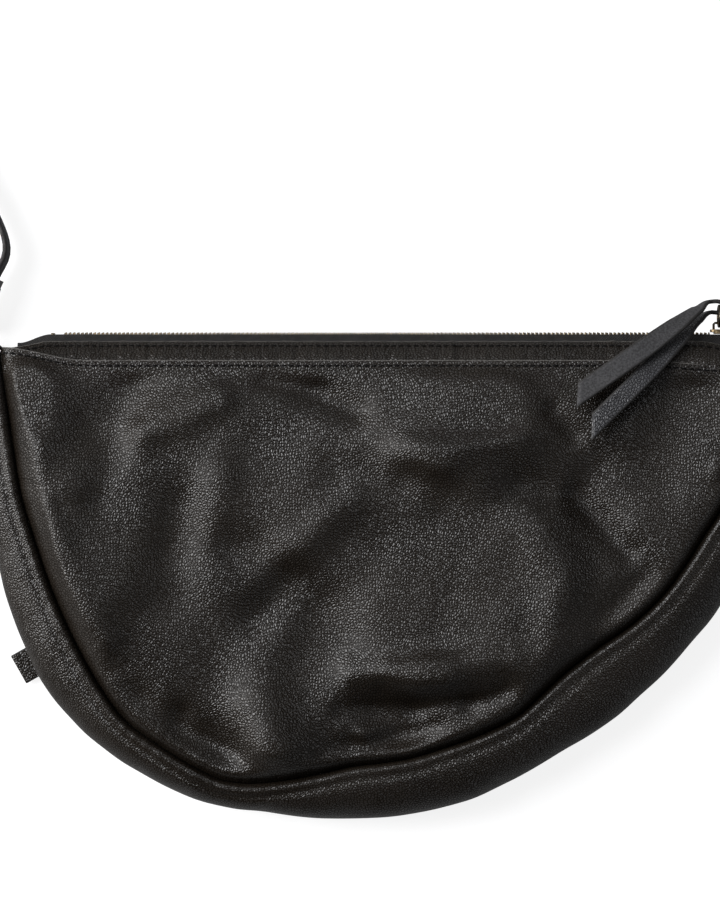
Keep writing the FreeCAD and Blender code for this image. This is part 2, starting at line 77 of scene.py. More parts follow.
def spline(anchors, count=None):
    """A smooth line through the anchors, cut evenly if a count is given."""
    anchors = np.asarray(anchors, float)
    steps = np.linalg.norm(np.diff(anchors, axis=0), axis=1)[:, None]
    slopes = np.diff(anchors, axis=0) / steps
    middle = (slopes[:-1] * steps[1:] + slopes[1:] * steps[:-1]) / (steps[:-1] + steps[1:])
    tangents = np.vstack([slopes[:1], middle, slopes[-1:]])
    t = np.linspace(0.0, 1.0, CUTS_PER_SPAN, endpoint=False)[:, None]
    runs = []
    for i, step in enumerate(steps):
        start = (1 + 2 * t) * (1 - t) ** 2 * anchors[i] + t * (1 - t) ** 2 * step * tangents[i]
        end = t * t * (3 - 2 * t) * anchors[i + 1] - t * t * (1 - t) * step * tangents[i + 1]
        runs.append(start + end)
    path = np.vstack(runs + [anchors[-1:]])
    return path if count is None else resample(path, count)


print("a line through three anchors has", len(spline(((0, 1), (0.7, 0.7), (1, 0)))), "points")

# %% Unevenness
WAVES = 8
WAVE_SUM = 2.8


def drift(x, y, size, seed):
    """Smooth unevenness of about one unit, its bumps about `size` across."""
    chance = np.random.default_rng(seed)
    total = np.zeros(np.broadcast(x, y).shape)
    for turn, shift, pace in chance.uniform((0, 0, 0.6), (6.28, 6.28, 1.5), (WAVES, 3)):
        along = np.asarray(x) * math.cos(turn) + np.asarray(y) * math.sin(turn)
        total += np.sin(along * 3.14 * pace / size + shift)
    return total / WAVE_SUM


def ease(t):
    """0 below 0, 1 above 1, and a soft step between."""
    t = np.clip(t, 0.0, 1.0)
    return t * t * (3.0 - 2.0 * t)


sample = drift(np.arange(400.0), 0.0, 16.0, 4)
print("unevenness runs from", round(sample.min(), 2), "to", round(sample.max(), 2))

# %% [markdown]
# ## Meshes
# Two kinds of mesh make all the leather. A *sheet* is a grid of points that Solidify gives its
# thickness, for the panels and the wide strips. A *band* is a strip swept along a line, with
# rounded cut edges, for the strap, the tie and the tabs. Every point also keeps its place on the
# leather laid flat, so that the grain isn't stretched where the leather turns down.

# %% Mesh tools
def finish_mesh(name, points, faces, materials, choice):
    """A smooth object from points in millimetres; `choice` picks each face's material."""
    mesh = bpy.data.meshes.new(name)
    mesh.from_pydata((np.asarray(points) * MM).tolist(), [], faces)
    for material in materials:
        mesh.materials.append(material)
    mesh.polygons.foreach_set("material_index", np.asarray(choice, np.int32))
    mesh.polygons.foreach_set("use_smooth", np.ones(len(faces), bool))
    mesh.update()
    obj = bpy.data.objects.new(name, mesh)
    bpy.context.scene.collection.objects.link(obj)
    return obj


def tube_faces(rows, cols):
    """Faces round a stack of rings, with a lid on the first and the last ring."""
    index = np.arange(rows * cols).reshape(rows, cols)
    turned = np.roll(index, -1, axis=1)
    quads = np.stack([index[:-1], turned[:-1], turned[1:], index[1:]], axis=-1)
    return quads.reshape(-1, 4).tolist() + [index[0].tolist()[::-1], index[-1].tolist()]


def lay_grain(obj, plan):
    """Keeps each point's place on the flat leather, in metres, for the grain to follow."""
    flat = np.zeros((len(obj.data.vertices), 3), np.float32)
    flat[:, :2] = np.asarray(plan).reshape(-1, 2) * MM
    grain = obj.data.attributes.new("grain", "FLOAT_VECTOR", "POINT")
    grain.data.foreach_set("vector", flat.ravel())


def unrolled(grid):
    """Distances along the columns and down the rows of a strip, as if it were laid flat."""
    along = np.linalg.norm(np.diff(grid, axis=1), axis=-1).mean(axis=0)
    down = np.linalg.norm(np.diff(grid, axis=0), axis=-1)
    plan = np.zeros(grid.shape[:2] + (2,))
    plan[:, 1:, 0] = np.cumsum(along)
    plan[1:, :, 1] = np.cumsum(down, axis=0)
    return plan


# %% Sheets
def sheet(name, grid, materials, thick, edge_rows=0, flip=False, marks=None, plan=None):
    """Grid of points as leather; the first `edge_rows` rows of faces show the cut edge."""
    rows, cols = grid.shape[:2]
    index = np.arange(rows * cols).reshape(rows, cols)
    quads = np.stack([index[:-1, :-1], index[:-1, 1:], index[1:, 1:], index[1:, :-1]], axis=-1)
    if flip:
        quads = quads[..., ::-1]
    choice = np.zeros((rows - 1, cols - 1), int)
    choice[:edge_rows] = 1
    faces = quads.reshape(-1, 4).tolist()
    obj = finish_mesh(name, grid.reshape(-1, 3), faces, materials, choice.ravel())
    for mark, values in (marks or {}).items():
        layer = obj.data.attributes.new(mark, "FLOAT", "POINT")
        layer.data.foreach_set("value", np.asarray(values, np.float32).ravel())
    lay_grain(obj, grid[..., :2] if plan is None else plan)
    solid = obj.modifiers.new("thickness", "SOLIDIFY")
    solid.thickness = thick * MM
    solid.offset = -1.0
    return obj


# %% Bands
EDGE_ARC = np.radians((55.0, 20.0, -20.0, -55.0))


def band(name, line, across, widths, thick, materials, faces_across=8, slant=0.0):
    """Strip swept along a line. Materials: upper side, lower side, cut edges."""
    line = np.asarray(line, float)
    ahead = unit(np.gradient(line, axis=0))
    across = np.broadcast_to(np.asarray(across, float), line.shape)
    across = unit(across - ahead * np.sum(across * ahead, axis=1)[:, None])
    normal = unit(np.cross(across, ahead))
    half = thick / 2
    reach = np.broadcast_to(widths, len(line))[:, None] / 2 - half
    flat = np.linspace(-1.0, 1.0, faces_across + 1)
    face, edge = np.ones(len(flat)), np.ones(len(EDGE_ARC))
    share = np.concatenate([flat, edge, -flat, -edge])
    swell = half * np.concatenate([0 * face, np.cos(EDGE_ARC), 0 * face, -np.cos(EDGE_ARC)])
    rise = half * np.concatenate([face, np.sin(EDGE_ARC), -face, -np.sin(EDGE_ARC)])
    out = reach * share + swell
    up = np.broadcast_to(rise, out.shape)
    points = line[:, None] + across[:, None] * out[..., None] + normal[:, None] * up[..., None]
    slide = np.broadcast_to(slant, len(line))[:, None] * out
    points = points + ahead[:, None] * slide[..., None]
    rows, cols = out.shape
    kind = np.full(cols, 2)
    kind[:faces_across] = 0
    lower = len(flat) + len(EDGE_ARC)
    kind[lower:lower + faces_across] = 1
    choice = np.tile(kind, rows - 1).tolist() + [2, 2]
    obj = finish_mesh(name, points.reshape(-1, 3), tube_faces(rows, cols), materials, choice)
    plan = np.zeros(out.shape + (2,))
    plan[..., 0] = reach_along(line)[:, None]
    plan[:, 1:, 1] = np.cumsum(np.hypot(np.diff(out, axis=1), np.diff(up, axis=1)), axis=1)
    lay_grain(obj, plan)
    return obj


# %% Carrying a piece
def place(obj, body, slot, *nodes):
    """Carry a piece on a body and let it stand for the rigid nodes."""
    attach(obj, body)
    if nodes:
        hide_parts(*nodes)
    print(obj.name, "on", body, "faces", len(obj.data.polygons))


# %% [markdown]
# ## Materials
# The leather is dyed almost black, with a little warm brown left in it. Its grain is a pattern of
# small pebbles with creases between them. The creases are painted darker and less shiny than the
# pebble tops: that is painted shade, for the shade that falls between the pebbles. An image could
# show the grain, but it would blur close up and repeat; here the pebbles are cells of a Voronoi
# texture, bent by noise so that no two are alike. Where the leather is cut through, its undyed
# middle shows as a thin grey-beige line.

# %% A short way to build nodes
class Nodes:
    """The nodes of one material."""

    def __init__(self, name):
        self.material = bpy.data.materials.new(name)
        self.material.use_nodes = True
        self.tree = self.material.node_tree
        self.shader = self.tree.nodes["Principled BSDF"]

    def add(self, kind, settings=None, **inputs):
        node = self.tree.nodes.new(kind)
        for key, value in (settings or {}).items():
            setattr(node, key, value)
        for key, value in inputs.items():
            self.feed(node, key, value)
        return node

    def feed(self, node, key, value):
        """Link a socket to an output, or set it to a number or colour."""
        socket = node.inputs[int(key)] if key.isdigit() else node.inputs[key]
        if isinstance(value, bpy.types.NodeSocket):
            self.tree.links.new(value, socket)
        else:
            socket.default_value = value

    def math(self, operation, first, second):
        node = self.add("ShaderNodeMath", {"operation": operation})
        self.feed(node, "0", first)
        self.feed(node, "1", second)
        return node.outputs[0]

    def vector(self, operation, first, second):
        node = self.add("ShaderNodeVectorMath", {"operation": operation})
        self.feed(node, "0", first)
        self.feed(node, "Scale" if operation == "SCALE" else "1", second)
        return node.outputs[0]

    def span(self, value, low, high, to_low, to_high):
        """A soft step from one range to another."""
        node = self.add("ShaderNodeMapRange", {"interpolation_type": "SMOOTHSTEP"}, Value=value)
        keys = ("From Min", "From Max", "To Min", "To Max")
        for key, number in zip(keys, (low, high, to_low, to_high)):
            node.inputs[key].default_value = number
        return node.outputs["Result"]

    def blend(self, amount, first, second):
        node = self.add("ShaderNodeMix", {"data_type": "RGBA"})
        for key, value in (("0", amount), ("6", first), ("7", second)):
            self.feed(node, key, value)
        return node.outputs[2]

    def noise(self, where, scale, detail=3.0):
        return self.add("ShaderNodeTexNoise", Vector=where, Scale=scale, Detail=detail).outputs[0]

    def attribute(self, name, output):
        return self.add("ShaderNodeAttribute", {"attribute_name": name}).outputs[output]

    def bump(self, height, depth):
        node = self.add("ShaderNodeBump", Height=height, Distance=depth, Strength=1.0)
        self.feed(self.shader, "Normal", node.outputs[0])


# %% Pebbled leather
# Shine deep in the creases is set low as painted shade; the pebble tops keep their shine.
CREASE_SHINE = 0.06
PEBBLE_SHINE = 0.55
PATCHES_PER_METRE = 22.0


def gathered(n, height):
    """Flattens the pebbles near a seam and draws the leather into ribs across it."""
    run, gap = (n.attribute(key, "Fac") for key in ("run", "gap"))
    across = n.add("ShaderNodeCombineXYZ", X=n.math("MULTIPLY", run, 0.62), Y=n.math("MULTIPLY", gap, 0.16))
    ribs = n.noise(across.outputs[0], 1.0, 2.0)
    near = n.span(gap, 1.0, 9.0, 1.0, 0.0)
    kept = n.math("SUBTRACT", 1.0, n.math("MULTIPLY", near, 0.6))
    return n.math("ADD", n.math("MULTIPLY", height, kept),
                  n.math("MULTIPLY", n.math("MULTIPLY", ribs, near), 2.2))


def grained(name, crease_shade, pebble_top, cell, depth, rough, seams=False):
    """Pebbled leather with cells of the given size in metres, gathered along seams if asked."""
    n = Nodes(name)
    where = n.attribute("grain", "Vector")
    warp = n.add("ShaderNodeTexNoise", Vector=where, Scale=0.45 / cell, Detail=2.0).outputs[1]
    sway = n.vector("SCALE", n.vector("SUBTRACT", warp, (0.5, 0.5, 0.5)), cell * 1.1)
    cells = n.add("ShaderNodeTexVoronoi", {"feature": "DISTANCE_TO_EDGE", "voronoi_dimensions": "2D"},
                  Vector=n.vector("ADD", where, sway), Scale=1.0 / cell)
    pebbles = n.span(cells.outputs["Distance"], 0.0, 0.5, 0.0, 1.0)
    # 0 deep in a crease and 1 on the pebbles: this mask carries the painted crease shade below.
    crease = n.span(cells.outputs["Distance"], 0.0, 0.2, 0.0, 1.0)
    fine = n.noise(where, 3.2 / cell, 4.0)
    patches = n.noise(where, PATCHES_PER_METRE, 4.0)
    height = n.math("ADD", n.math("MULTIPLY", pebbles, 0.9), n.math("MULTIPLY", fine, 0.12))
    # Colour: the creases take the first, darker colour as painted shade between the pebbles; the patches add
    # a random tone.
    crease_shade_and_tone = n.math("ADD", n.math("MULTIPLY", crease, 0.7), n.span(patches, 0.3, 0.7, 0.0, 0.3))
    rubbed = n.math("ADD", patches, n.math("MULTIPLY", fine, 0.3))
    # The creases also lose most of their shine, which is painted shade too.
    n.feed(n.shader, "Specular IOR Level", n.span(crease, 0.0, 1.0, CREASE_SHINE, PEBBLE_SHINE))
    n.feed(n.shader, "Base Color", n.blend(crease_shade_and_tone, crease_shade, pebble_top))
    n.feed(n.shader, "Roughness", n.span(rubbed, 0.4, 0.9, rough - 0.03, rough + 0.05))
    n.bump(gathered(n, height) if seams else height, depth)
    return n.material


# %% Plain finishes and woven tape
TAPE_TURN = 0.8


def plain(name, first, second, scale, rough, depth, metal=0.0, shine=0.5):
    """Two tones mixed by noise, with a fine relief: cut leather, thread and metal."""
    n = Nodes(name)
    where = n.add("ShaderNodeTexCoord").outputs["Object"]
    speckle = n.noise(where, scale, 5.0)
    n.feed(n.shader, "Base Color", n.blend(n.span(speckle, 0.32, 0.68, 0.0, 1.0), first, second))
    n.feed(n.shader, "Roughness", n.span(speckle, 0.3, 0.7, rough + 0.08, rough - 0.08))
    n.shader.inputs["Metallic"].default_value = metal
    n.shader.inputs["Specular IOR Level"].default_value = shine
    n.bump(n.noise(where, scale * 2.5, 4.0), depth)
    return n.material


def woven(name, dark, light, pitch):
    """Cotton tape: two sets of fine ribs that cross on the slant, a thread's pitch apart."""
    n = Nodes(name)
    where = n.add("ShaderNodeTexCoord").outputs["Object"]
    turned = n.add("ShaderNodeMapping", Vector=where)
    turned.inputs["Rotation"].default_value = (0.0, 0.0, TAPE_TURN)
    ribs = [n.add("ShaderNodeTexWave", {"bands_direction": way}, Vector=turned.outputs[0],
                  Scale=0.31 / pitch, Distortion=0.6).outputs["Fac"] for way in "XY"]
    weave = n.math("MULTIPLY", ribs[0], ribs[1])
    n.feed(n.shader, "Base Color", n.blend(weave, dark, light))
    n.feed(n.shader, "Roughness", n.span(n.noise(where, 300.0), 0.3, 0.7, 0.8, 0.95))
    n.bump(weave, pitch * 0.35)
    return n.material


# %% The bag's materials
# The first colour is the colour deep in the creases, painted shade rather than a darker dye; the second is
# the pebble tops.
BAG_LEATHER = {"crease_shade": (0.0018, 0.0011, 0.0006, 1), "pebble_top": (0.0126, 0.0091, 0.0060, 1),
               "cell": 0.0015, "depth": 0.00020, "rough": 0.38}
leather = grained("pebbled leather", **BAG_LEATHER)
seam_leather = grained("seamed leather", **BAG_LEATHER, seams=True)
# Its first colour is the crease colour, painted shade as in the bag's leather.
tie_leather = grained("tie leather", (0.0060, 0.0055, 0.0055, 1), (0.050, 0.050, 0.054, 1),
                      0.0016, 0.00019, 0.38)
flesh = plain("flesh side", (0.024, 0.023, 0.024, 1), (0.050, 0.049, 0.051, 1), 900.0, 0.84, 0.00012)
cut_edge = plain("cut edge", (0.045, 0.042, 0.038, 1), (0.135, 0.126, 0.115, 1), 700.0, 0.82, 0.0001)
dark_edge = plain("dyed edge", (0.009, 0.008, 0.0075, 1), (0.020, 0.018, 0.017, 1), 800.0, 0.70, 0.0001)
tape_cloth = woven("zip tape", (0.004, 0.0035, 0.0032, 1), (0.020, 0.018, 0.0165, 1), 0.0010)
# Nearly black and matte: black thread, with painted shade of the stitch dents on top.
thread = plain("thread", (0.0010, 0.0009, 0.0009, 1), (0.0030, 0.0027, 0.0026, 1),
               2500.0, 0.75, 0.00005, shine=0.12)
brass = plain("antique brass", (0.07, 0.052, 0.030, 1), (0.27, 0.205, 0.12, 1), 420.0, 0.38, 0.00004, 1.0)
dark_brass = plain("dark brass", (0.045, 0.038, 0.030, 1), (0.15, 0.125, 0.09, 1),
                   260.0, 0.38, 0.00004, 1.0)
print("finishes:", ", ".join(m.name for m in (leather, tie_leather, flesh, cut_edge, tape_cloth, brass)))

# %% [markdown]
# ## The two outlines
# From above, the bag shows two curves. The inner one is the seam between the front panel and the
# gusset; it leans to the left, because the empty bag has slumped that way. The outer one is the
# belly of the gusset. Both were measured round the photo and carried on beyond its edges.

# %% Outlines
SEAM = (
    (-197.0, 112.4), (-196.0, 103.0), (-193.7, 87.5), (-190.3, 64.7), (-185.0, 33.4), (-178.1, 10.6),
    (-167.5, -19.6), (-154.2, -48.2), (-143.1, -67.8), (-130.9, -84.3), (-111.3, -99.1), (-90.1, -111.8),
    (-79.5, -116.6), (-65.7, -118.7), (-49.8, -117.7), (-25.4, -113.4), (-9.0, -109.7), (7.4, -107.8),
    (23.3, -104.9), (37.1, -100.7), (61.5, -91.7), (79.5, -82.2), (90.1, -72.6), (103.4, -60.4),
    (119.2, -48.2), (141.0, -32.9), (155.3, -19.1), (169.6, 0.0), (178.1, 13.8), (185.5, 24.9),
    (193.5, 40.3), (198.8, 58.3), (201.4, 82.2), (201.8, 102.5))
BELLY = (
    (-208.5, 113.0), (-209.0, 82.2), (-208.4, 60.0), (-205.1, 24.7), (-198.1, -5.5), (-193.3, -24.2),
    (-185.5, -45.1), (-176.4, -64.3), (-158.3, -87.5), (-133.8, -107.6), (-117.8, -117.3), (-91.0, -129.1),
    (-74.4, -132.9), (-58.4, -134.9), (-33.7, -138.2), (-13.3, -139.2), (7.5, -138.2), (37.5, -133.4),
    (56.8, -127.5), (75.5, -118.9), (94.8, -107.7), (114.1, -96.5), (133.4, -83.1), (152.1, -66.5),
    (171.4, -45.6), (187.5, -24.8), (200.6, -0.6), (210.7, 24.7), (221.0, 60.0), (224.6, 82.2),
    (226.3, 113.0))
TOP_Y = 105.5
SEAM_CUTS = 1000
seam_line = spline(SEAM, SEAM_CUTS)
seam_reach = np.linalg.norm(np.diff(seam_line, axis=0), axis=1).sum()
print("seam length", round(seam_reach), "mm")


# %% Places measured from the outlines
def top_edge(x):
    """The panel's cut edge: it climbs to the zip at the left corner and sinks at the right."""
    return TOP_Y + 6.9 * ease((-150.0 - x) / 46.0) - 3.0 * ease((x - 140.0) / 55.0)


def near_seam(x, y):
    """Distance to the seam, and how far along the seam that is."""
    flat = np.stack([np.ravel(x), np.ravel(y)], axis=1)
    away, at = [], []
    for block in np.array_split(flat, max(1, len(flat) // 2000)):
        gaps = np.hypot(block[:, :1] - seam_line[:, 0], block[:, 1:] - seam_line[:, 1])
        at.append(gaps.argmin(axis=1))
        away.append(gaps.min(axis=1))
    shape = np.shape(x)
    along = np.concatenate(at) * seam_reach / (SEAM_CUTS - 1)
    return np.concatenate(away).reshape(shape), along.reshape(shape)


# %% [markdown]
# ## Front panel
# One large half moon of soft leather. At the curve it is turned into the seam, so it rolls down
# into a groove; at the top its cut edge lies on the facing. Between them it lies over an almost
# empty bag and settles into broad folds. A cloth simulation would give some folds, but not these
# ones, so each fold is drawn as a ridge or a valley between two points, with a width and a height.

# %% Folds
FOLDS = (
    (-44, -119, -60, -77, 16, 6.0), (74, 66, 20, 59, 16, 6.0), (-32, -51, -24, -25, 20, -6.0),
    (39, -59, -9, -59, 8, 3.8), (-142, 71, -120, 106, 15, -4.9), (27, -96, 0, -103, 19, -6.0),
    (-83, -114, -78, -35, 20, -3.6), (-7, 79, -54, 99, 8, -4.1), (69, 81, 36, 106, 20, 6.0),
    (86, -97, 103, -2, 15, 5.9), (116, 10, 118, 46, 20, -6.0), (-169, 37, -187, 97, 20, 6.0),
    (-143, -14, -166, 10, 20, 6.0), (70, 28, -11, 10, 17, -2.6), (-103, -16, -101, 29, 15, -4.5),
    (-144, -52, -172, 29, 6, 3.2), (-46, -9, -60, -30, 13, -5.3), (-80, 85, -120, 68, 9, 4.6),
    (-8, 36, -56, -10, 10, 2.5), (73, -70, 53, -78, 6, -3.1), (134, -32, 145, -19, 14, -6.0),
    (74, -53, 12, -61, 10, 5.1), (-87, 8, -78, 44, 11, 3.7), (-55, 62, -25, 86, 16, -2.3),
    (152, 47, 172, 105, 20, -5.3), (91, -81, 44, -94, 4, 2.0), (-188, 57, -183, 101, 17, 6.0),
    (-16, -110, -65, -117, 5, 2.3), (25, -101, 10, -82, 14, -6.0), (136, 4, 108, 34, 7, -3.7),
    (114, -44, 87, -69, 7, 3.6), (-152, -37, -176, 42, 4, 2.1), (-75, -103, -110, -93, 14, -5.4),
    (-130, 32, -190, 25, 7, -0.9), (-16, -40, -86, 16, 15, -3.0), (108, 66, 97, 79, 6, -3.1),
    (-123, -73, -137, -77, 11, -3.1), (40, -63, 72, -33, 11, 2.1), (89, 19, 30, 60, 15, 3.3),
    (184, 47, 186, 49, 5, 2.4), (-179, 46, -187, 98, 5, 2.3), (52, -108, 111, -52, 7, 3.6),
    (-15, -110, -64, -118, 4, 2.2), (33, -85, 8, -67, 6, -2.9), (-140, -41, -167, 3, 10, 5.2),
    (158, -14, 114, 37, 9, -1.4), (-111, -127, -100, -81, 7, -2.7), (69, 91, 36, 58, 12, 4.7),
    (-143, 30, -128, 74, 9, -1.9), (81, 39, 92, 35, 11, -4.5), (-105, 5, -60, 8, 12, -2.2),
    (38, -14, 0, -2, 17, -1.9), (14, 44, -15, 44, 12, -2.8), (33, -99, -9, -102, 6, -2.0),
    (34, -84, -3, -92, 5, 2.7), (53, -74, -15, -79, 5, -2.3), (30, -59, 0, -92, 10, 3.5),
    (23, -82, -22, -103, 7, -1.6), (20, -92, -14, -92, 6, 1.6), (23, -104, 4, -84, 13, -3.1),
    (-184, 92, -192, 96, 11, 5.7), (-21, -110, -62, -115, 5, 2.4), (33, -98, 6, -102, 7, -1.2),
    (-183, 86, -188, 100, 8, 3.9), (-31, -122, -54, -98, 16, 5.3),
)


def fold_height(x, y):
    """All ridges and valleys together, over a slight unevenness."""
    folds = 0.16 * drift(x, y, 16.0, 4)
    for x0, y0, x1, y1, wide, high in FOLDS:
        run = np.array([x1 - x0, y1 - y0], float)
        part = np.clip(((x - x0) * run[0] + (y - y0) * run[1]) / run.dot(run), 0.0, 1.0)
        off = np.hypot(x - x0 - part * run[0], y - y0 - part * run[1])
        folds = folds + high * np.exp(-((off / wide) ** 2))
    return folds


print("ridges and valleys", len(FOLDS))

# %% Front panel's height
GROOVE_Z = 36.5
CROWN = 17.5
LEFT_SLUMP = 4.0
GATHER = 0.26
UNDER_TIE_Y = (60.0, 70.0, 86.0, 102.0, 106.0)
UNDER_TIE_Z = (60.0, 54.0, 50.6, 47.0, 45.0)
CEILING_SOFT = 1.3


def front_height(x, y):
    """The panel's height: roll at the seam, crown, folds, gathers, and room left for the tie."""
    away, along = near_seam(x, y)
    top = np.maximum(top_edge(x) - y, 0.0)
    from_seam = 0.52 * (1 - np.exp(-((away / 3.0) ** 1.6))) + 0.48 * (1 - np.exp(-away / 45.0))
    from_top = 0.3 + 0.7 * (1 - np.exp(-top / 40.0))
    z = GROOVE_Z + CROWN * from_seam * from_top
    slump = LEFT_SLUMP * ease((-70.0 - x) / 90.0)
    z = z + slump * (1 - np.exp(-((away / 4.0) ** 1.5))) * from_top
    z = z + fold_height(x, y) * ease((away - 2.0) / 16.0) * ease((top - 1.0) / 14.0)
    gathers = drift(along, 0.0, 3.4, 8) + 0.7 * drift(along, away, 7.0, 9)
    z = z + GATHER * gathers * np.exp(-away / 6.0) * ease(away / 1.5)
    room = np.interp(y, UNDER_TIE_Y, UNDER_TIE_Z)
    return room - CEILING_SOFT * np.logaddexp(0.0, (room - z) / CEILING_SOFT)


# %% Front panel's mesh
PANEL_COLUMNS = 440
PANEL_ROWS = 97


def crowded(count, evenly):
    """Shares from 0 to 1 that stand closer together at both ends."""
    shares = np.linspace(0.0, 1.0, count)
    return evenly * shares + (1 - evenly) * (0.5 - 0.5 * np.cos(math.pi * shares))


columns = np.linspace(0.004, 0.996, PANEL_COLUMNS)
rows = crowded(PANEL_ROWS, 0.2)
seam_shares = np.linspace(0, 1, SEAM_CUTS)
seam_points = np.stack([np.interp(columns, seam_shares, axis) for axis in seam_line.T], axis=1)
top_x = seam_line[0, 0] + columns * (seam_line[-1, 0] - seam_line[0, 0])
top_points = np.stack([top_x, top_edge(top_x)], axis=1)
plan = top_points[None] + (seam_points - top_points)[None] * rows[:, None, None]
height = front_height(plan[..., 0], plan[..., 1])
front = np.concatenate([plan, height[..., None]], axis=-1)
lip = np.stack([front[0] + (0, 0.55, -0.75), front[0] + (0, 0.3, -0.2)])
front = np.concatenate([lip, front])
gap, run = near_seam(front[..., 0], front[..., 1])
front_marks = {"run": run, "gap": gap}
front_leather = sheet("front_leather", front, [seam_leather, cut_edge], 1.6, len(lip), True, front_marks)
place(front_leather, "bag", "leather", "front_panel")

# %% [markdown]
# ## Gusset
# The strip that joins front and back. It is rolled out of the front seam, bellies outwards and is
# turned in again at the back seam. It is stitched to two curves of different length, so it never
# lies smooth: small gathers stand across both seams and soft waves run round the belly. It is
# built as rows that follow the two outlines, from the front seam over the belly to the back.

# %% Gusset's rows
AROUND = 460
END_Y = 113.0
BACK_INSET = 7.5
ROLL = 3.6
ROLL_Z = 36.0
ROLL_RISE = 5.3
BELLY_Z = 19.0
DOME_RISE = 22.3
UNDER_DROP = 17.0

inner = spline(((-197.1, END_Y),) + SEAM[1:] + ((202.0, END_Y),), AROUND)
outer = spline(BELLY, AROUND)
heading = unit(np.gradient(outer, axis=0))
back_line = outer + BACK_INSET * np.stack([-heading[:, 1], heading[:, 0]], axis=1)
wide = np.linalg.norm(outer - inner, axis=1)
out_way = (outer - inner) / wide[:, None]
rows_out, rows_z, softness = [], [], []
for angle in np.radians(np.linspace(0, 90, 6))[:-1]:
    rows_out.append(inner + out_way * ROLL * (1 - math.cos(angle)))
    rows_z.append(np.full(AROUND, ROLL_Z + ROLL_RISE * math.sin(angle)))
    softness.append(0.25 * math.sin(angle))
for angle in np.radians(np.linspace(0, 90, 25)):
    run_out = (wide - ROLL) * math.sin(angle)
    rows_out.append(inner + out_way * (ROLL + run_out[:, None]))
    crease = np.exp(-(((run_out - 3.4) / 1.7) ** 2))
    rows_z.append(BELLY_Z + DOME_RISE * math.cos(angle) ** 0.9 - crease)
    softness.append(0.25 + 0.75 * math.sin(angle) ** 2 * math.cos(angle) * 2)
for angle in np.radians(np.linspace(0, 90, 11))[1:]:
    rows_out.append(outer + (back_line - outer) * (1 - math.cos(angle)))
    rows_z.append(np.full(AROUND, BELLY_Z - UNDER_DROP * math.sin(angle)))
    softness.append(0.5 * math.cos(angle))
print("gusset is", round(wide.min()), "to", round(wide.max()), "mm wide from above")

# %% Gusset's waves
GUSSET_RUN = 720.0
ROW_STEP = 1.6
gusset = np.zeros((len(rows_out), AROUND, 3))
gusset[..., :2] = rows_out
gusset[..., 2] = rows_z
along = np.linspace(0.0, GUSSET_RUN, AROUND)[None]
down = np.arange(len(rows_out))[:, None] * ROW_STEP
waves = 0.55 * drift(along, down, 26.0, 21) + 0.3 * drift(along, 0.4 * down, 9.0, 22)
gathers = 0.3 * drift(along, 0.0, 3.6, 23) * np.exp(-down / 9.0)
lift = (waves * np.array(softness)[:, None] + gathers * ease(down / 4.0))[..., None]
tilt = np.linspace(0.0, 1.0, len(rows_out))[:, None, None]
sideways = np.concatenate([out_way, 0 * out_way[:, :1]], axis=1)[None]
gusset = gusset + lift * (sideways * tilt + np.array((0.0, 0.0, 1.0)) * (1 - tilt))
from_roll = np.linalg.norm(gusset[..., :2] - inner[None], axis=-1)
print("waves stand up to", round(float(np.abs(lift).max()), 2), "mm")

# %% Gusset's ends and mesh
# Beside the zip each end is folded in on itself, so that no open mouth is left.
FOLD_IN = (0.12, 0.35, 0.65, 0.94)
FOLD_BULGE = 1.6
folded = []
for end, middle in ((gusset[:, 0], (-198.0, END_Y, 20.0)), (gusset[:, -1], (203.5, END_Y, 20.0))):
    turned = [end + (np.array(middle) - end) * share + (0.0, FOLD_BULGE * math.sin(math.pi * share), 0.0)
              for share in FOLD_IN]
    folded.append(np.stack(turned, axis=1))
gusset = np.concatenate([folded[0][:, ::-1], gusset, folded[1]], axis=1)
more = ((0, 0), (len(FOLD_IN), len(FOLD_IN)))
gusset_marks = {"run": np.pad(np.broadcast_to(along, from_roll.shape), more, mode="edge"),
                "gap": np.pad(from_roll, more, mode="edge")}
gusset_leather = sheet("gusset_leather", gusset, [seam_leather], 1.6, 0, True, gusset_marks, unrolled(gusset))
place(gusset_leather, "bag", "leather", "gusset")

# %% [markdown]
# ## Back panel
# The bag lies on it, so it is flat. Only at the curve does it turn up a little, into the back seam.

# %% Back panel's mesh
BACK_ROWS = 40
back_curve = resample(back_line, 220)[1:-1]
back_top = np.stack([np.linspace(back_curve[0, 0], back_curve[-1, 0], len(back_curve)),
                     np.full(len(back_curve), TOP_Y + 3.0)], axis=1)
back_plan = back_top[None] + (back_curve - back_top)[None] * crowded(BACK_ROWS, 0.3)[:, None, None]
edge_gap = np.linalg.norm(back_curve[None] - back_plan, axis=-1)
back = np.concatenate([back_plan, (0.15 + 2.0 * np.exp(-edge_gap / 3.0))[..., None]], axis=-1)
back_leather = sheet("back_leather", back, [leather, cut_edge], 1.4)
place(back_leather, "bag", "leather", "back_panel")

# %% [markdown]
# ## Facings and zip tapes
# A leather facing runs along each side of the zip, tucked under the panel and cut raw along the
# zip. The woven tape comes out from under it and stands up to the teeth. The back of the bag has
# the same pieces, mirrored through the middle of the chain. Towards its ends the facing sinks, and
# the zip dives in behind it.

# %% Strips along the zip
CHAIN_Y = 119.7
CHAIN_Z = 21.0


def strip(left, right, section, seed, puckers, cols=420):
    """A strip along X from rows of (y, z), with small upright puckers."""
    x = np.linspace(left, right, cols)[None]
    section = np.asarray(section, float)
    grid = np.zeros((len(section), cols, 3))
    grid[..., 0] = x
    grid[..., 1] = section[:, :1]
    grid[..., 2] = section[:, 1:]
    ridge = drift(x, 0.0, 3.0, seed) + 0.8 * drift(x, section[:, :1], 8.0, seed + 1)
    grid[..., 2] += puckers * ridge
    grid[..., 1] += 0.6 * puckers * ridge
    return grid


def mirrored(grid):
    """The same strip on the other side of the chain."""
    return grid * (1, 1, -1) + (0, 0, 2 * CHAIN_Z)


def chain_dip(x):
    """How far the zip dives past its left end, beyond the slider's reach."""
    return 4.5 * ease((-171.0 - x) / 16.0)


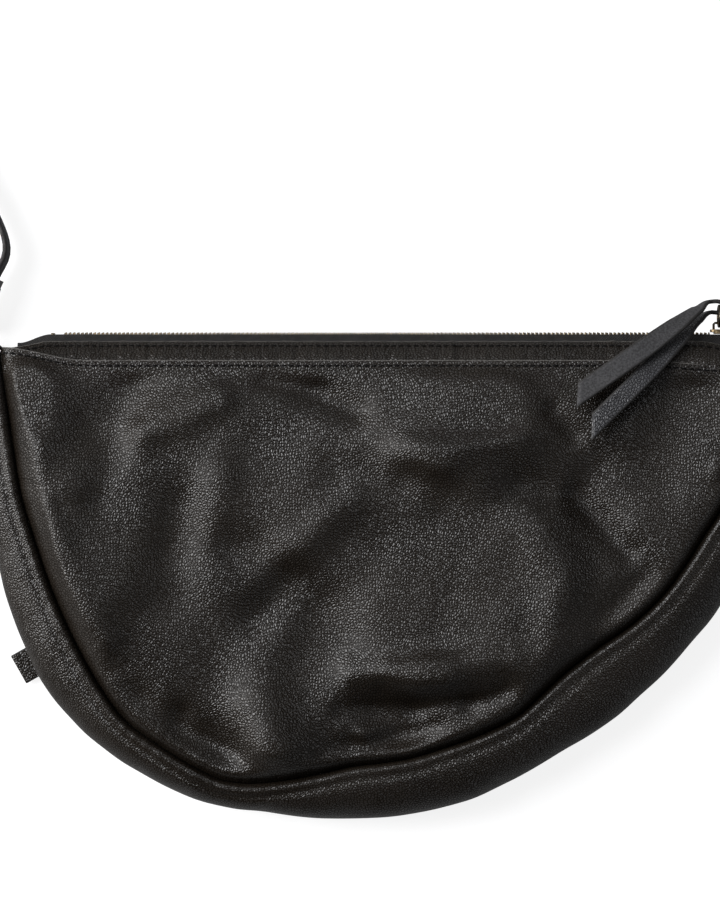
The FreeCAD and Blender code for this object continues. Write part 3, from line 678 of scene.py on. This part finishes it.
# %% Facings
FACING_LEFT, FACING_RIGHT = -194.0, 200.0
FACING_SECTION = ((116.35, 29.9), (116.3, 30.5), (116.0, 31.0), (114.5, 32.6), (112.5, 34.5),
                  (110.0, 36.7), (107.5, 38.6), (105.5, 39.7), (103.0, 40.3), (100.0, 40.2))
facing = strip(FACING_LEFT, FACING_RIGHT, FACING_SECTION, 31, 0.17)
from_end = np.minimum(facing[..., 0] - FACING_LEFT, FACING_RIGHT - facing[..., 0])
facing[..., 1] -= 3.5 * ease(1 - from_end / 26.0) * ease((facing[..., 1] - 100.0) / 12.0)
for side, grid, flip in (("front", facing, True), ("back", mirrored(facing), False)):
    piece = sheet(side + "_facing_leather", grid, [leather, cut_edge], 1.3, 2, flip, None, unrolled(facing))
    place(piece, "bag", "leather", side + "_facing")

# %% Tapes
TAPE_SECTION = ((120.0, 24.4), (120.05, 25.6), (119.9, 26.3), (119.2, 26.9), (117.8, 27.8),
                (116.2, 28.7), (114.6, 29.6), (112.6, 31.2))
tape = strip(-188.0, 197.2, TAPE_SECTION, 41, 0.05, 300)
tape[..., 1] -= chain_dip(tape[..., 0]) * ease((tape[..., 1] - 112.0) / 6.0)
for side, grid, flip in (("front", tape, True), ("back", mirrored(tape), False)):
    piece = sheet(side + "_tape_cloth", grid, [tape_cloth], 0.6, flip=flip)
    place(piece, "bag", "zip_tape", side + "_zip_tape")

# %% [markdown]
# ## Things that repeat
# Teeth and stitches are one small shape, repeated. A Geometry Nodes tree does it: it takes a line,
# cuts it at an even pitch, and sets a copy at each cut, turned along the line and up from the
# surface. A little unevenness, with a fixed seed, makes each copy its own size. The result is
# turned into a plain mesh, because an export keeps meshes and drops instances.

# %% The repeating tree
def repeat_tree():
    tree = bpy.data.node_groups.new("repeat along a line", "GeometryNodeTree")
    for name, kind in (("Line", "Geometry"), ("Shape", "Object"), ("Pitch", "Float"),
                       ("Unevenness", "Float"), ("Seed", "Int"), ("Material", "Material")):
        tree.interface.new_socket(name, in_out="INPUT", socket_type="NodeSocket" + kind)
    tree.interface.new_socket("Copies", in_out="OUTPUT", socket_type="NodeSocketGeometry")

    def node(kind, **settings):
        made = tree.nodes.new(kind)
        for key, value in settings.items():
            setattr(made, key, value)
        return made

    given = node("NodeGroupInput")
    curve = node("GeometryNodeMeshToCurve")
    cut = node("GeometryNodeResampleCurve", mode="LENGTH")
    tangent = node("GeometryNodeInputTangent")
    up = node("GeometryNodeInputNamedAttribute", data_type="FLOAT_VECTOR")
    up.inputs["Name"].default_value = "up"
    along = node("FunctionNodeAlignRotationToVector", axis="X")
    upright = node("FunctionNodeAlignRotationToVector", axis="Z", pivot_axis="X")
    low = node("ShaderNodeMath", operation="SUBTRACT")
    low.inputs[0].default_value = 1.0
    chance = node("FunctionNodeRandomValue", data_type="FLOAT")
    chance.inputs["Max"].default_value = 1.0
    shape = node("GeometryNodeObjectInfo")
    copies = node("GeometryNodeInstanceOnPoints")
    real = node("GeometryNodeRealizeInstances")
    coat = node("GeometryNodeSetMaterial")
    result = node("NodeGroupOutput")
    for source, out, target, into in (
            (given, "Line", curve, "Mesh"), (curve, "Curve", cut, "Curve"), (given, "Pitch", cut, "Length"),
            (cut, "Curve", copies, "Points"), (given, "Shape", shape, "Object"),
            (shape, "Geometry", copies, "Instance"), (tangent, "Tangent", along, "Vector"),
            (along, "Rotation", upright, "Rotation"), (up, "Attribute", upright, "Vector"),
            (upright, "Rotation", copies, "Rotation"), (given, "Unevenness", low, 1), (low, 0, chance, "Min"),
            (given, "Seed", chance, "Seed"), (chance, "Value", copies, "Scale"),
            (copies, "Instances", real, "Geometry"), (real, "Geometry", coat, "Geometry"),
            (given, "Material", coat, "Material"), (coat, "Geometry", result, "Copies")):
        tree.links.new(source.outputs[out], target.inputs[into])
    return tree


REPEAT = repeat_tree()
print("repeating tree has", len(REPEAT.nodes), "nodes")


# %% Copies along lines
def repeat(name, lines, shape, pitch, unevenness, seed, material):
    """Copies of a shape along lines of (points, up directions), as one plain mesh."""
    points = np.vstack([line for line, up in lines])
    ups = np.vstack([np.broadcast_to(up, line.shape) for line, up in lines])
    edges = []
    for line, up in lines:
        start = edges[-1][1] + 1 if edges else 0
        edges += [(start + i, start + i + 1) for i in range(len(line) - 1)]
    mesh = bpy.data.meshes.new(name)
    mesh.from_pydata((points * MM).tolist(), edges, [])
    layer = mesh.attributes.new("up", "FLOAT_VECTOR", "POINT")
    layer.data.foreach_set("vector", ups.astype(np.float32).ravel())
    obj = bpy.data.objects.new(name, mesh)
    bpy.context.scene.collection.objects.link(obj)
    modifier = obj.modifiers.new("repeat", "NODES")
    modifier.node_group = REPEAT
    values = {"Shape": shape, "Pitch": pitch * MM, "Unevenness": unevenness, "Seed": seed,
              "Material": material}
    for item in REPEAT.interface.items_tree:
        if item.in_out == "INPUT" and item.name in values:
            modifier[item.identifier] = values[item.name]
    ready = obj.evaluated_get(bpy.context.evaluated_depsgraph_get())
    made = bpy.data.meshes.new_from_object(ready)
    obj.modifiers.clear()
    obj.data = made
    made.polygons.foreach_set("use_smooth", np.ones(len(made.polygons), bool))
    made.materials.clear()
    made.materials.append(material)
    return obj


def pattern(name, rings):
    """A small closed shape from rings of points, kept out of the picture."""
    rings = np.asarray(rings, float)
    mesh = bpy.data.meshes.new(name)
    mesh.from_pydata((rings.reshape(-1, 3) * MM).tolist(), [], tube_faces(*rings.shape[:2]))
    return bpy.data.objects.new(name, mesh)


# %% [markdown]
# ## Zip teeth
# Each tooth is a small brass block clamped on the tape's edge, with a rounded head that reaches
# past the middle of the chain. The two rows are set half a pitch apart, so the heads interlock.
# Only the backs of the front row show from above.

# %% Teeth
TOOTH_PITCH = 2.2
TOOTH_COUNT = 157
EIGHT_CORNERS = np.array([(-1, -1), (-1, -0.45), (-1, 0.45), (-1, 1), (1, 1), (1, 0.45), (1, -0.45), (1, -1)])
OUTER_CORNERS = [0, 3, 4, 7]


def eight_cornered(z, half_x, half_y):
    """One ring of a small block, with its long sides cut in two."""
    return np.column_stack([EIGHT_CORNERS[:, 0] * half_x, EIGHT_CORNERS[:, 1] * half_y, np.full(8, z)])


def chain(first, side):
    """The line of one row of teeth, from its first tooth at the closed end."""
    x = first - TOOTH_PITCH * np.linspace(0, TOOTH_COUNT - 1, TOOTH_COUNT)
    line = np.column_stack([x, CHAIN_Y - chain_dip(x), 0 * x + CHAIN_Z])
    return [(line, np.array((0.0, 0.0, side)))]


tooth_rings = []
for size in ((-0.8, 0.18, 0.5), (-0.35, 0.42, 0.95), (1.3, 0.5, 1.45), (2.9, 0.55, 1.55), (3.25, 0.35, 1.25)):
    ring = eight_cornered(*size)
    ring[OUTER_CORNERS, 0] *= 0.55
    tooth_rings.append(ring)
tooth = pattern("tooth", tooth_rings)
for side, first, way, seed in (("front", 181.1, 1.0, 1), ("back", 180.0, -1.0, 2)):
    teeth = repeat(side + "_teeth", chain(first, way), tooth, TOOTH_PITCH, 0.05, seed, brass)
    place(teeth, "bag", "zip_brass", side + "_zip_teeth")

# %% [markdown]
# ## Stitches
# Black thread, four millimetres to a stitch. Its colour is darker and its shine lower than black
# thread alone: painted shade for the small dents the stitches press into the leather, which are
# not modelled. One row holds the facing to the tape, just below its cut edge, and one holds the
# front panel to the facing. Each stitch dips into the leather at both ends, so it is a thread that
# is thick in the middle and thin at its ends.

# %% Stitch rows
STITCH = 4.0
FACING_ROW_Y = 113.6
FACING_UP = np.array((0.0, 0.68, 0.73))
PANEL_UP = np.array((0.0, 0.45, 0.89))
sixths = np.radians(np.arange(0, 360, 60))
stitch_rings = []
for x, z, size in ((-1.65, -0.5, 0.3), (-1.3, 0.0, 0.5), (0.0, 0.12, 0.58), (1.3, 0.0, 0.5),
                   (1.65, -0.5, 0.3)):
    stitch_rings.append(np.column_stack([np.full(6, x), size * np.cos(sixths), z + size * np.sin(sixths)]))
stitch = pattern("stitch", stitch_rings)


def along_facing(grid, lift):
    """The line on a facing where its section passes the stitch row."""
    level = [row for row, point in enumerate(FACING_SECTION) if point[0] >= FACING_ROW_Y][-1]
    above, below = FACING_SECTION[level][0], FACING_SECTION[level + 1][0]
    share = (above - FACING_ROW_Y) / (above - below)
    line = grid[level] * (1 - share) + grid[level + 1] * share
    return line[4:-4] + lift


row_x = np.linspace(-193.0, 198.0, 400)
row_y = top_edge(row_x) - 2.6
panel_row = np.column_stack([row_x, row_y, front_height(row_x, row_y) + 0.05])
stitch_lines = [(along_facing(facing, (0, 0.02, 0.02)), FACING_UP), (panel_row, PANEL_UP),
                (along_facing(mirrored(facing), (0, 0.02, -0.02)), FACING_UP * (1, 1, -1))]
stitches = repeat("zip_stitches", stitch_lines, stitch, STITCH, 0.1, 5, thread)
place(stitches, "bag", "leather")

# %% [markdown]
# ## Leather tie
# Instead of a metal pull, a strip of leather is folded through the ring on the slider and its two
# tails hang over the front. The upper tail shows its smooth flesh side, the lower one its grain.
# The strip is gathered where it goes through the ring and turns flat as it comes over the edge of
# the bag, so each row of the list is a point, a turn in degrees and a width. The tails are cut on
# the slant.

# %% Tie
RING_MIDDLE = np.array((186.89, 129.9, 21.0))
FOLD_RADIUS = 2.85
SLANT_RUN = 14.0
tie_rows = [
    (-78.0, -42.8, 36.0, 90, 11.0), (-41.2, -17.2, 31.0, 85, 11.0), (-25.0, -5.6, 22.5, 62, 10.0),
    (-12.5, 3.2, 10.5, 35, 8.0), (-4.5, 7.75, 0.5, 0, 4.4)]
for angle in np.radians((90, 45, 0, -45, -90)):
    tie_rows.append((FOLD_RADIUS * math.cos(angle), 4.9 + FOLD_RADIUS * math.sin(angle), 0.0, 0, 4.4))
tie_rows += [
    (-4.5, 2.05, 0.5, 0, 4.4), (-12.0, -1.8, 5.5, -35, 8.0), (-22.0, -11.4, 16.0, -62, 10.0),
    (-38.0, -27.8, 27.8, -85, 10.5), (-70.4, -59.6, 35.0, -90, 10.5)]
tie_rows = np.array(tie_rows)
tie_line = RING_MIDDLE + spline(tie_rows[:, :3])
at = np.linspace(0, len(tie_rows) - 1, len(tie_line))
turn = np.radians(np.interp(at, np.arange(len(tie_rows)), tie_rows[:, 3]))
tie_wide = np.interp(at, np.arange(len(tie_rows)), tie_rows[:, 4])
ahead = unit(np.gradient(tie_line, axis=0))
upright = unit(np.array((0.0, 0.0, 1.0)) - ahead * ahead[:, 2:])
tie_across = upright * np.cos(turn)[:, None] - np.cross(upright, ahead) * np.sin(turn)[:, None]
reach = reach_along(tie_line)
tie_slant = 1.08 * ease(1 - (reach[-1] - reach) / SLANT_RUN) - 0.81 * ease(1 - reach / SLANT_RUN)
tie = band("tie_strip", tie_line, tie_across, tie_wide, 2.2, [flesh, tie_leather, dark_edge], 8, tie_slant)
place(tie, "tie", "tie_leather", "pull_tie")

# %% [markdown]
# ## Strap and its rings
# The strap lies on its edge behind the bag. At each end it goes round the outer bar of a ring and is
# riveted back on itself; the inner bar sits in a leather tab that is stitched to the gusset. Only a
# bulge of the strap shows at the left of the photo, so the rest follows the rigid model.

# %% Strap's line
STRAP_THICK = 2.6
LEFT_BAR = np.array((-210.8, 126.5))
RIGHT_BAR = np.array((228.0, 126.5))
BAR_TURN = 3.1
FOLD_END = 26.0


def strap_fold(bar, lay, outer_side):
    """From the free end round the ring's bar to the start of the free run."""
    lay = np.array(lay) / np.linalg.norm(lay)
    side = np.array((-lay[1], lay[0])) * outer_side
    ply = (STRAP_THICK + 0.2) / 2
    line = [bar + lay * run - side * ply for run in (FOLD_END, 21.0, 16.0, 11.0, 6.0)]
    for angle in np.radians(np.linspace(-110, -250, 12)):
        line.append(bar + BAR_TURN * (lay * math.cos(angle) + side * math.sin(angle)))
    return line + [bar + lay * run + side * ply for run in (6.0, 11.0)], bar + lay * FOLD_END + side * ply


left_fold, left_end = strap_fold(LEFT_BAR, (0.42, 0.91), 1)
right_fold, right_end = strap_fold(RIGHT_BAR, (0.31, 0.95), -1)
left_route = LEFT_BAR + ((15.5, 36.5), (7.8, 63.5), (-11.2, 99.5), (-25.2, 139.5), (-21.2, 199.5),
                         (22.8, 267.5), (105.8, 310.5))
right_route = RIGHT_BAR + ((-108, 305.5), (-23, 258.5), (22, 185.5), (28, 108.5), (18, 51.5))
crown = (LEFT_BAR + RIGHT_BAR) / 2 + (1.4, 323.5)
free_run = spline(np.vstack([left_fold[-1:], [left_end], left_route, [crown], right_route, [right_end],
                             right_fold[-1:]]), 260)
strap_plan = np.vstack([left_fold[:-1], free_run, right_fold[-2::-1]])
reach = reach_along(strap_plan)
print("strap is", round(reach[-1]), "mm long with its folds")

# %% Strap's mesh
RING_Z = 14.6
STRAP_WIDE = 22.0
from_end = np.minimum(reach, reach[-1] - reach)
strap_z = RING_Z - 3.3 * ease((from_end - 60.0) / 80.0)
strap = band("strap_leather", np.column_stack([strap_plan, strap_z]), (0, 0, 1), STRAP_WIDE, STRAP_THICK,
             [leather, flesh, dark_edge], 10)
place(strap, "strap", "leather", "strap")

# %% Tabs that hold the rings
EYE_Y = 114.5
EYE_RADIUS = 2.6
TAB_LOW_Y = 75.5
STITCH_FRAME = ((110.0, 7.2), (78.0, 7.2), (78.0, 22.0), (110.0, 22.0))
tab_rows = []
steps = np.linspace(0, 1, 20)
for name, eye_x, inward in (("left_tab", LEFT_BAR[0], 1), ("right_tab", RIGHT_BAR[0], -1)):
    line = [(eye_x + inward * EYE_RADIUS, y) for y in np.linspace(TAB_LOW_Y, 112.0, 12)]
    for angle in np.radians(np.linspace(0, 290, 20)):
        line.append((eye_x + inward * EYE_RADIUS * math.cos(angle), EYE_Y + EYE_RADIUS * math.sin(angle)))
    line += [(eye_x + inward * 1.0, y) for y in np.linspace(110.5, TAB_LOW_Y, 12)]
    line = np.column_stack([line, np.full(len(line), RING_Z)])
    tab = band(name, line, (0, 0, inward), 19.0, 1.5, [flesh, leather, dark_edge], 6)
    place(tab, "bag", "leather", name.replace("tab", "ring_tab"))
    face_x = np.full(len(steps), eye_x + inward * 0.22)
    for (y0, z0), (y1, z1) in zip(STITCH_FRAME, STITCH_FRAME[1:]):
        row = np.column_stack([face_x, y0 + (y1 - y0) * steps, z0 + (z1 - z0) * steps])
        tab_rows.append((row, np.array((-inward, 0.0, 0.0))))
tab_stitches = repeat("tab_stitches", tab_rows, stitch, STITCH, 0.1, 6, thread)
place(tab_stitches, "bag", "leather")

# %% [markdown]
# ## Side tab
# A small loop of leather caught in the back seam at the left, its two plies pressed flat. Its face
# is blank.

# %% Side tab's mesh
TAB_END = np.array((-189.2, -60.1))
TAB_IN = np.array((0.87, 0.493))
TAB_ACROSS = (0.493, -0.87, 0.0)
LOWER_PLY_Z, UPPER_PLY_Z = 2.7, 4.1
tab_plan = [TAB_END + TAB_IN * run for run in (23.0, 16.0, 9.0, 3.0, 1.2)]
side_line = [(*p, LOWER_PLY_Z) for p in tab_plan]
for angle in np.radians((-60, -20, 20, 60)):
    side_line.append((*(TAB_END + TAB_IN * (0.9 - 0.75 * math.cos(angle))), 3.4 + 0.7 * math.sin(angle)))
side_line += [(*p, UPPER_PLY_Z) for p in tab_plan[::-1]]
side_tab = band("side_tab_leather", side_line, TAB_ACROSS, 17.2, 1.25, [leather, leather, dark_edge], 6)
place(side_tab, "bag", "leather", "side_tab")

# %% [markdown]
# ## Metal
# The slider, the top stops, the strap rings and the rivets keep the shape of the rigid model. The
# brass is antiqued: brighter where it is rubbed, dark in between. The bottom stop sits between the
# last teeth. The pull ring is made here as a round wire, because it is seen close to the camera.

# %% Hardware that keeps its shape
for node, metal in (("slider_body", brass), ("zip_top_stops", brass), ("left_ring", dark_brass),
                    ("right_ring", dark_brass), ("strap_rivets", dark_brass)):
    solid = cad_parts[node]
    solid.data.materials.clear()
    solid.data.materials.append(metal)
    print(node, "in", metal.name)

# %% Bottom stop
STOP_X = -169.4
stop_rings = [eight_cornered(*size) for size in
              ((-3.9, 0.5, 0.7), (-3.4, 0.9, 1.1), (3.4, 0.9, 1.1), (3.9, 0.5, 0.7))]
stop_middle = np.array((STOP_X, CHAIN_Y - chain_dip(STOP_X), CHAIN_Z))
stop_faces = tube_faces(len(stop_rings), len(EIGHT_CORNERS))
bottom_stop = finish_mesh("bottom_stop", stop_middle + np.vstack(stop_rings), stop_faces, [brass],
                          np.zeros(len(stop_faces), int))
place(bottom_stop, "bag", "zip_brass", "zip_bottom_stop")

# %% Pull ring
PULL_RADIUS = 5.4
WIRE_RADIUS = 0.85
turns = np.radians(np.arange(0, 360, 7.5))
wire = np.radians(np.arange(0, 360, 30))
from_middle = PULL_RADIUS + WIRE_RADIUS * np.cos(wire)
ring_points = np.zeros((len(turns), len(wire), 3))
ring_points[..., 0] = WIRE_RADIUS * np.sin(wire)
ring_points[..., 1] = from_middle * np.cos(turns)[:, None]
ring_points[..., 2] = from_middle * np.sin(turns)[:, None]
index = np.arange(ring_points.size // 3).reshape(len(turns), len(wire))
over = np.roll(index, -1, axis=0)
ring_faces = np.stack([index, np.roll(index, -1, axis=1), np.roll(over, -1, axis=1), over], axis=-1)
pull_ring = finish_mesh("pull_wire", RING_MIDDLE + ring_points.reshape(-1, 3),
                        ring_faces.reshape(-1, 4).tolist(), [dark_brass], np.zeros(index.size, int))
place(pull_ring, "puller", "dark_brass", "pull_ring")

# %% [markdown]
# ## Light, floor and camera
# The photo is lit by large soft sources, most of all from the left, and cut out on white. The floor
# is paper that the lamps light, so it takes the bag's shadow. For the camera's rays, and a little
# for reflections, a glow is added that brings it up to white, so the lamps can stay at a plain
# level. The camera hangs above the bag and looks straight down.

# %% Floor
FLOOR_HALF, FLOOR_Z = 4, -0.0004
corners = [(x * FLOOR_HALF, y * FLOOR_HALF, FLOOR_Z) for x, y in ((-1, -1), (1, -1), (1, 1), (-1, 1))]
floor_mesh = bpy.data.meshes.new("floor")
floor_mesh.from_pydata(corners, [], [(0, 1, 2, 3)])
floor = bpy.data.objects.new("floor", floor_mesh)
bpy.context.scene.collection.objects.link(floor)
white = Nodes("white floor")
white.feed(white.shader, "Base Color", (0.25, 0.25, 0.25, 1))
white.feed(white.shader, "Specular IOR Level", 0.0)
paper = white.shader.outputs[0]
glow = white.add("ShaderNodeEmission", Strength=0.85)
both = white.add("ShaderNodeAddShader")
rays = white.add("ShaderNodeLightPath")
seen = white.add("ShaderNodeMath", {"operation": "MULTIPLY_ADD"})
either = white.add("ShaderNodeMixShader")
for node, values in ((both, (paper, glow.outputs[0])),
                     (seen, (rays.outputs["Is Glossy Ray"], 0.15, rays.outputs["Is Camera Ray"])),
                     (either, (seen.outputs[0], paper, both.outputs[0]))):
    for key, value in enumerate(values):
        white.feed(node, str(key), value)
white.feed(white.tree.nodes["Material Output"], "Surface", either.outputs[0])
floor_mesh.materials.append(white.material)
print("floor", 2 * FLOOR_HALF, "m wide")

# %% Lights
world = bpy.data.worlds.new("studio")
bpy.context.scene.world = world
world.use_nodes = True
world.node_tree.nodes["Background"].inputs["Color"].default_value = (0.92, 0.95, 1.0, 1)
world.node_tree.nodes["Background"].inputs["Strength"].default_value = 0.025


def softbox(name, where, size, power, tint):
    """A rectangular lamp that faces the bag."""
    light = bpy.data.lights.new(name, "AREA")
    light.shape = "RECTANGLE"
    light.size, light.size_y = size
    light.energy = power
    light.color = tint
    obj = bpy.data.objects.new(name, light)
    bpy.context.scene.collection.objects.link(obj)
    obj.location = where
    x, y, z = where
    obj.rotation_euler = (math.atan2(math.hypot(x, y), z), 0.0, math.atan2(-y, -x) - math.pi / 2)
    print("lamp", name, power, "W")


softbox("key", (-2.1, 0.85, 2.3), (1.4, 2.0), 130.0, (0.97, 0.98, 1.0))
softbox("low left", (-1.6, 0.1, 0.4), (0.4, 1.2), 20.0, (1.0, 0.98, 0.96))
softbox("top", (0.5, 1.6, 1.5), (1.4, 0.5), 10.0, (0.95, 0.97, 1.0))
softbox("right", (1.5, -0.6, 1.4), (0.8, 1.2), 6.0, (0.93, 0.96, 1.0))

# %% Camera
CAMERA_HIGH = 2.0
SENSOR = 36.0
VIEW_TALL = 0.477
camera_data = bpy.data.cameras.new("camera")
camera = bpy.data.objects.new("camera", camera_data)
bpy.context.scene.collection.objects.link(camera)
camera.location = (-0.0053, 0.0583, 0.04 + CAMERA_HIGH)
camera_data.sensor_width = SENSOR
camera_data.lens = SENSOR * CAMERA_HIGH / VIEW_TALL
bpy.context.scene.camera = camera
bpy.context.scene.view_settings.view_transform = "Standard"
print("lens", round(camera_data.lens, 1), "mm")
